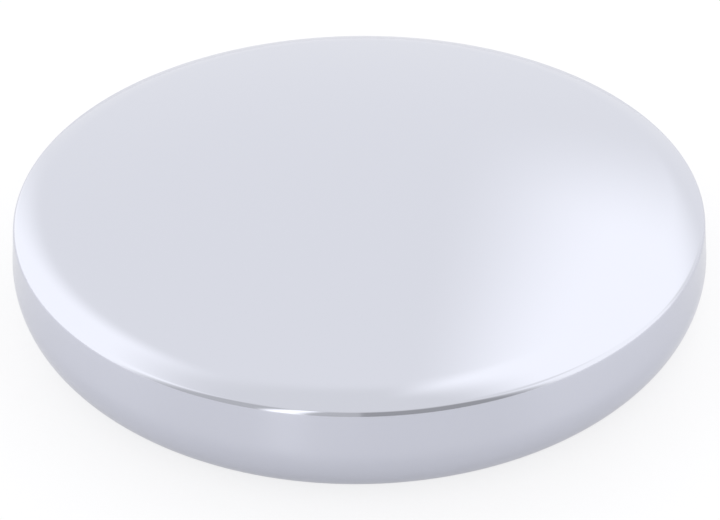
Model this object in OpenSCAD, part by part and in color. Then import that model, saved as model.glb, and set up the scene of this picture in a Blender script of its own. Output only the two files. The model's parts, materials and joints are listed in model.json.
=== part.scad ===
// Smooth pressed wheel centre cap. One sheet of steel, drawn to a crowned face with
// a crisp crease, a short side wall that rolls in towards the back, and a hooked lip
// that snaps over the wheel. It stands on the lip, with its axis on Z and the face up.

/* [Overall] */
// Outside diameter at the widest point of the side wall (10-1/2 in)
cap_d = 266.7; // [180:0.1:300]
// Thickness of the sheet
sheet_t = 0.9; // [0.6:0.05:1.3]

/* [Face] */
// Slope of the crown where it runs into the shoulder, in degrees
crown_slope = 9; // [4:0.5:14]
// Width of the shoulder band that rolls the face off inside the crease
shoulder_w = 11; // [6:0.5:20]
// Slope of the shoulder where it meets the crease, in degrees
shoulder_slope = 24; // [18:1:32]
// Outer radius of the crease between the face and the side wall
crease_r = 2.5; // [1.6:0.1:5]

/* [Side wall] */
// Height of the straight stretch below the crease
wall_h = 14.2; // [8:0.1:30]
// Angle at which the side wall leans out on its way down, in degrees
wall_flare = 7.7; // [3:0.1:12]
// Outer radius of the roll that turns the side wall in to the lip
roll_r = 24; // [18:0.5:30]

/* [Back lip] */
// Distance in from the widest point of the side wall to the land that grips the wheel (1/2 in)
lip_in = 12.7; // [9.5:0.1:16]
// Height of the straight gripping land
land_h = 5; // [3:0.1:8]
// Width of the flat seat that bears on the wheel
seat_w = 1.5; // [0.8:0.1:3]
// Outer radius of the turn from the roll into the seat
bead_r = 2.5; // [1.8:0.1:4]
// Outer radius of the turn from the seat up into the land
turn_r = 2.5; // [1.8:0.1:4]
// Outer radius of the curl at the free edge above the land
curl_r = 2.2; // [1.6:0.1:4]
// Angle through which the free edge curls outwards, in degrees
curl_turn = 50; // [20:5:80]

/* [Hidden] */
$fn = 256;

// Neighbouring arcs reach this far past each other, so that they cross and don't only touch
lap = 0.002;
// A shape that cuts runs this far past what it cuts
past = 1;
// The roll is drawn as a strip this deep, and half of that depth overlaps the core
strip_deep = roll_r / 5;
// The strip turns this many degrees past the foot of the straight wall
strip_over = 5;
// Colour of the chromed sheet
chrome = [0.83, 0.84, 0.88];

// Unit vector at an angle from +X
function dir(a) = [cos(a), sin(a)];

// The section has X out from the axis and Y up from the seat. Its arcs are placed
// from the lip upwards, each by the centre that it turns about.
grip_r = cap_d / 2 - lip_in;
lip_top = turn_r + land_h;
turn_c = [grip_r + turn_r, turn_r];
bead_c = [turn_c.x + seat_w, bead_r];
curl_c = [grip_r + curl_r, lip_top];

// The roll is as wide as the cap allows, and turns until it meets the bead
roll_reach = roll_r - bead_r + lap;
roll_x = cap_d / 2 - roll_r;
roll_turn = acos((bead_c.x - roll_x) / roll_reach);
roll_c = bead_c - roll_reach * dir(-roll_turn);
roll_mid = (wall_flare - roll_turn) / 2;

// The straight wall ends in the corner that it makes with the face
wall_foot = roll_c + (roll_r - lap) * dir(wall_flare);
corner = wall_foot + wall_h * [-tan(wall_flare), 1];

// The crease rounds that corner, square to the wall and to the shoulder's edge
shoulder_out = dir(90 - shoulder_slope);
crease_in = (dir(wall_flare) + shoulder_out) / (1 + dir(wall_flare) * shoulder_out);
crease_c = corner - (crease_r - lap) * crease_in;

// The shoulder's radius follows from its width and its change of slope
crown_out = dir(90 - crown_slope);
shoulder_r = shoulder_w / (sin(shoulder_slope) - sin(crown_slope));
shoulder_c = crease_c - (shoulder_r - crease_r + lap) * shoulder_out;

// The crown is a sphere about the axis
crown_reach = shoulder_c.x / sin(crown_slope);
crown_r = crown_reach + shoulder_r - lap;
crown_c = shoulder_c - crown_reach * crown_out;

// Level in the side wall where the face's pieces stand on the rest of the section
core_top = corner.y - wall_h / 2;

// Stretch of a face arc between two distances from the axis, filled down to the core
module face_slice(centre, r, x0, x1) {
    intersection() {
        translate(centre) circle(r);
        translate([x0, core_top]) square([x1 - x0, corner.y]);
    }
}

// Strip along the rim of the roll's disc, from the bead up to the foot of the straight wall
module roll_slice(inset) {
    top = wall_flare + strip_over;
    // Far enough out for the polygon's long edge to miss the disc
    far = 2 * roll_r;
    near = roll_r - strip_deep;
    translate(roll_c) intersection() {
        circle(roll_r - inset);
        polygon([
            bead_c - roll_c, far * dir(-roll_turn), far * dir(top),
            near * dir(top), near * dir(roll_mid)
        ]);
    }
}

// Everything inside one skin of the sheet: the outer skin, or the one an inset inside it.
// It starts at axis_x. The opening inside the lip is closed off by a step that meets the
// curl where the sheet ends, and raise lifts that step.
module filled(inset, axis_x, raise) {
    land_x = grip_r + inset;
    step = curl_c + (curl_r + past) * dir(180 - curl_turn) + [0, raise];
    crown_edge = shoulder_c.x + (shoulder_r - inset) * crown_out.x;
    shoulder_edge = crease_c.x + (crease_r - inset) * shoulder_out.x;
    face_slice(crown_c, crown_r - inset, axis_x, crown_edge);
    face_slice(shoulder_c, shoulder_r - inset, crown_edge - shoulder_w / 2, shoulder_edge);
    translate(crease_c) circle(crease_r - inset);
    roll_slice(inset);
    translate(bead_c) circle(bead_r - inset);
    translate(turn_c) circle(turn_r - inset);
    translate(curl_c) circle(curl_r - inset);
    polygon([
        [axis_x, step.y], step, curl_c, [land_x, curl_c.y],
        [land_x, turn_c.y], turn_c, [turn_c.x, inset], [bead_c.x, inset], bead_c,
        roll_c + (roll_r - strip_deep / 2) * dir(roll_mid),
        roll_c + (roll_r - lap - inset) * dir(wall_flare),
        crease_c + (crease_r - lap - inset) * dir(wall_flare), crease_c, [axis_x, crease_c.y]
    ]);
}

module hubcap() {
    color(chrome) rotate_extrude() difference() {
        filled(0, 0, past);
        filled(sheet_t, -past, 0);
    }
}

hubcap();
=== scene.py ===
import json
import math

import bmesh
import bpy
from mathutils import Matrix, Vector


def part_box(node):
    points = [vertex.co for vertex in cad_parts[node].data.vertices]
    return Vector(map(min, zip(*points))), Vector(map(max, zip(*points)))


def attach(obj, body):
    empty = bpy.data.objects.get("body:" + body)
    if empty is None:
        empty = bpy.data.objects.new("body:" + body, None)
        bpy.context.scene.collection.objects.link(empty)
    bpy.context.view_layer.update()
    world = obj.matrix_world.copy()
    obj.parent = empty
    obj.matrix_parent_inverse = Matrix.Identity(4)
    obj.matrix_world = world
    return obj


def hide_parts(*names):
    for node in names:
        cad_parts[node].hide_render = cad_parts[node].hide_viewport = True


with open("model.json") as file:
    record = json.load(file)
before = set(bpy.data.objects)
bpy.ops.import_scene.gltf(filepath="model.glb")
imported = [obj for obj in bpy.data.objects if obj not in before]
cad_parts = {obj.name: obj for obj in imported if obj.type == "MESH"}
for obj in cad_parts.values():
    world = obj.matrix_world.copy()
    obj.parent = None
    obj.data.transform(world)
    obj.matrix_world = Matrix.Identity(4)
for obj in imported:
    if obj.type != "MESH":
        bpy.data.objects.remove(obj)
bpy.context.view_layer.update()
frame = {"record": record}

# The hubcap: one disc of thin steel, drawn in a press to a crowned face with a crisp crease,
# then rolled in at the back to a hooked lip that grips the wheel. The outside is buffed and
# plated with bright chromium. The back is only flash plated and keeps the marks of the press.
MM = 0.001
mounts = {mount["name"]: mount for mount in frame["record"]["mounts"]}
cap_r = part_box("hubcap")[1].x
grip_r = mounts["lip_grip"]["dims"]["r_mm"] * MM
land_h = mounts["lip_grip"]["dims"]["length_mm"] * MM
sheet_t = 0.9 * MM
curl_r = 2.2 * MM
curl_turn = math.radians(50)
turn_r = 2.5 * MM
seat_w = 1.5 * MM
bead_r = 2.5 * MM
roll_r = 24 * MM
wall_h = 14.2 * MM
wall_flare = math.radians(7.7)
crease_r = 2.5 * MM
shoulder_w = 11 * MM
shoulder_slope = math.radians(24)
crown_slope = math.radians(9)
steps_round = 256

# The roll turns from the bead until it reaches the widest point of the cap
bead_x = grip_r + turn_r + seat_w
roll_turn = math.acos((bead_x - cap_r + roll_r) / (roll_r - bead_r))
# The straight wall loses what the crease takes off its top corner
crease_turn = math.radians(90) - wall_flare - shoulder_slope
wall_straight = wall_h / math.cos(wall_flare) - crease_r * math.tan(crease_turn / 2)
shoulder_r = shoulder_w / (math.sin(shoulder_slope) - math.sin(crown_slope))

sheet = bmesh.new()
curl_x = grip_r + curl_r - curl_r * math.cos(curl_turn)
curl_z = turn_r + land_h + curl_r * math.sin(curl_turn)
tip = bmesh.ops.create_vert(sheet, co=(curl_x, 0, curl_z))["vert"][0]
# The section is walked from the free edge, in XZ, turning left all the way to the crown
heading = math.radians(270) - curl_turn


def bend(radius, turn, steps):
    """Carries the section round a bend to the left."""
    global tip, heading
    left = Vector((-math.sin(heading), 0, math.cos(heading)))
    made = bmesh.ops.spin(sheet, geom=[tip], cent=tip.co + radius * left, axis=(0, -1, 0),
                          angle=turn, steps=steps)
    tip = next(item for item in made["geom_last"] if isinstance(item, bmesh.types.BMVert))
    heading += turn


def straight(length, steps=1):
    """Carries the section straight on."""
    global tip
    stride = length / steps * Vector((math.cos(heading), 0, math.sin(heading)))
    for _ in range(steps):
        made = bmesh.ops.extrude_vert_indiv(sheet, verts=[tip])
        tip = made["verts"][0]
        bmesh.ops.translate(sheet, verts=[tip], vec=stride)


bend(curl_r, curl_turn, 8)
straight(land_h, 2)
bend(turn_r, math.radians(90), 10)
straight(seat_w)
bend(bead_r, math.radians(90) - roll_turn, 6)
bend(roll_r, roll_turn + wall_flare, 22)
straight(wall_straight, 4)
bend(crease_r, crease_turn, 12)
bend(shoulder_r, shoulder_slope - crown_slope, 14)
bend(tip.co.x / math.sin(crown_slope), crown_slope, 40)
tip.co.x = 0

bmesh.ops.spin(sheet, geom=sheet.verts[:] + sheet.edges[:], cent=(0, 0, 0), axis=(0, 0, 1),
               angle=math.radians(360), steps=steps_round, use_merge=True)
bmesh.ops.remove_doubles(sheet, verts=sheet.verts[:], dist=0.01 * MM)
bmesh.ops.recalc_face_normals(sheet, faces=sheet.faces[:])
for face in sheet.faces:
    face.smooth = True
mesh = bpy.data.meshes.new("hubcap_shell")
sheet.to_mesh(mesh)
sheet.free()
shell = bpy.data.objects.new("hubcap_shell", mesh)
bpy.context.scene.collection.objects.link(shell)

wall = shell.modifiers.new("sheet", "SOLIDIFY")
wall.thickness = sheet_t
wall.offset = -1
wall.use_even_offset = True
wall.material_offset = 1
# The sheared edge of the sheet is broken by a file
edge = shell.modifiers.new("broken_edge", "BEVEL")
edge.width = 0.2 * MM
edge.segments = 2
edge.limit_method = "ANGLE"
edge.angle_limit = math.radians(60)


def srgb(hex_code):
    """A colour written as sRGB hex, in the linear values that shaders take."""
    parts = [int(hex_code[i:i + 2], 16) / 255 for i in (0, 2, 4)]
    return [c / 12.92 if c <= 0.04045 else ((c + 0.055) / 1.055) ** 2.4 for c in parts] + [1]


def add(tree, kind, settings, **links):
    """Adds a node with its settings, and links or sets its inputs by name."""
    node = tree.nodes.new(kind)
    for name, value in settings.items():
        setattr(node, name, value)
    for name, value in links.items():
        socket = node.inputs[int(name[1:])] if name[1:].isdigit() else node.inputs[name.replace("_", " ")]
        if isinstance(value, bpy.types.NodeSocket):
            tree.links.new(value, socket)
        else:
            socket.default_value = value
    return node


def bright_chromium_plate():
    """Decorative chromium on buffed steel: a clean mirror with a cool cast."""
    material = bpy.data.materials.new("bright_chromium_plate")
    material.use_nodes = True
    tree = material.node_tree
    surface = tree.nodes["Principled BSDF"]
    surface.inputs["Base Color"].default_value = srgb("D4D6E0")
    surface.inputs["Metallic"].default_value = 1
    surface.inputs["Roughness"].default_value = 0.08
    return material


def flash_plated_back():
    """The unpolished back."""
    material = bpy.data.materials.new("flash_plated_back")
    material.use_nodes = True
    tree = material.node_tree
    surface = tree.nodes["Principled BSDF"]
    surface.inputs["Base Color"].default_value = srgb("B9BBC2")
    surface.inputs["Metallic"].default_value = 1
    surface.inputs["Roughness"].default_value = 0.35
    return material


mesh.materials.append(bright_chromium_plate())
mesh.materials.append(flash_plated_back())
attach(shell, "root")
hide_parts("hubcap")

# The camera looks down on the cap from the front with a long lens, at the photograph's angle.
distance = 0.656
elevation = math.radians(34.93)
aim = Vector((0.0002, 0, 0.0037))
tilt = math.radians(-0.66)
camera = bpy.data.objects.new("camera", bpy.data.cameras.new("camera"))
bpy.context.scene.collection.objects.link(camera)
camera.data.sensor_width = 36
camera.data.lens = 83
back = Vector((0, -math.cos(elevation), math.sin(elevation)))
camera.matrix_world = (Matrix.Translation(aim + distance * back)
                       @ (-back).to_track_quat("-Z", "Y").to_matrix().to_4x4()
                       @ Matrix.Rotation(tilt, 4, "Z"))
bpy.context.scene.camera = camera

# The floor: a sheet of pale acrylic, wide enough to reach past every view. The eye sees it
# lit up to white, with part of the cap's own shadow left on it.
floor_r = 6
tile = bmesh.new()
bmesh.ops.create_circle(tile, cap_ends=True, radius=floor_r, segments=64)
floor_mesh = bpy.data.meshes.new("floor")
tile.to_mesh(floor_mesh)
tile.free()
floor = bpy.data.objects.new("floor", floor_mesh)
bpy.context.scene.collection.objects.link(floor)


def pale_floor():
    """White acrylic, lit up to white."""
    material = bpy.data.materials.new("pale_floor")
    material.use_nodes = True
    tree = material.node_tree
    surface = tree.nodes["Principled BSDF"]
    surface.inputs["Base Color"].default_value = srgb("E4E4E8")
    surface.inputs["Roughness"].default_value = 0.3
    rays = tree.nodes.new("ShaderNodeLightPath")
    seen = add(tree, "ShaderNodeMath", {"operation": "MULTIPLY"},
               _0=rays.outputs["Is Camera Ray"], _1=0.7)
    mirrored = add(tree, "ShaderNodeMath", {"operation": "MULTIPLY"},
                   _0=rays.outputs["Is Glossy Ray"], _1=0.3)
    lift = add(tree, "ShaderNodeMath", {"operation": "ADD"},
               _0=seen.outputs[0], _1=mirrored.outputs[0])
    white = add(tree, "ShaderNodeEmission", {}, Color=(1, 1, 1, 1), Strength=1.1)
    mixed = add(tree, "ShaderNodeMixShader", {},
                Fac=lift.outputs[0], _1=surface.outputs[0], _2=white.outputs[0])
    tree.links.new(mixed.outputs[0], tree.nodes["Material Output"].inputs["Surface"])
    return material


floor_mesh.materials.append(pale_floor())

# The studio: a white tent round the table, with a soft box on either side. It is open and
# dim behind the camera, where one strip lamp stands.
world = bpy.data.worlds.new("studio")
bpy.context.scene.world = world
world.use_nodes = True
tent = world.node_tree
direction = add(tent, "ShaderNodeSeparateXYZ", {},
                Vector=tent.nodes.new("ShaderNodeTexCoord").outputs["Generated"])
bearing = add(tent, "ShaderNodeMath", {"operation": "ARCTAN2"},
              _0=direction.outputs["X"], _1=direction.outputs["Y"])
height = add(tent, "ShaderNodeMath", {"operation": "ARCSINE"}, _0=direction.outputs["Z"])


def ramp(value, low, high):
    """Rises smoothly from 0 at one angle to 1 at another, in degrees."""
    return add(tent, "ShaderNodeMapRange", {"interpolation_type": "SMOOTHSTEP"},
               _0=value, _1=math.radians(low), _2=math.radians(high)).outputs[0]


def panel(light, strength, colour, left, right, low, high, soft):
    """Lays a panel of even light over the tent, between two bearings and two heights."""
    mask = ramp(bearing.outputs[0], left - soft, left + soft)
    for part in (ramp(bearing.outputs[0], right + soft, right - soft),
                 ramp(height.outputs[0], low - soft, low + soft),
                 ramp(height.outputs[0], high + soft, high - soft)):
        mask = add(tent, "ShaderNodeMath", {"operation": "MULTIPLY"}, _0=mask, _1=part).outputs[0]
    return add(tent, "ShaderNodeMix", {"data_type": "RGBA"}, _0=mask, _6=light,
               _7=[strength * c for c in srgb(colour)[:3]] + [1]).outputs[2]


light = add(tent, "ShaderNodeCombineColor", {}, _0=1.04, _1=1.04, _2=1.04).outputs[0]
light = panel(light, 0.95, "FFFFFF", -400, 400, 66, 400, 6)
light = panel(light, 1.35, "FFFFFF", -108, -32, -30, 58, 8)
light = panel(light, 1.35, "FFFFFF", 14, 75, 28, 70, 8)
light = panel(light, 1.3, "FFFFFF", 72, 122, -30, 52, 8)
light = panel(light, 0.45, "FFFFFF", 130, 400, -30, 64, 10)
light = panel(light, 0.65, "FFFFFF", -400, -118, -30, 64, 10)
light = panel(light, 1.6, "FFFFFF", -163, -152, -30, 62, 3)
lamp = tent.nodes["Background"]
tent.links.new(light, lamp.inputs["Color"])
lamp.inputs["Strength"].default_value = 1
bpy.context.scene.view_settings.view_transform = "Standard"
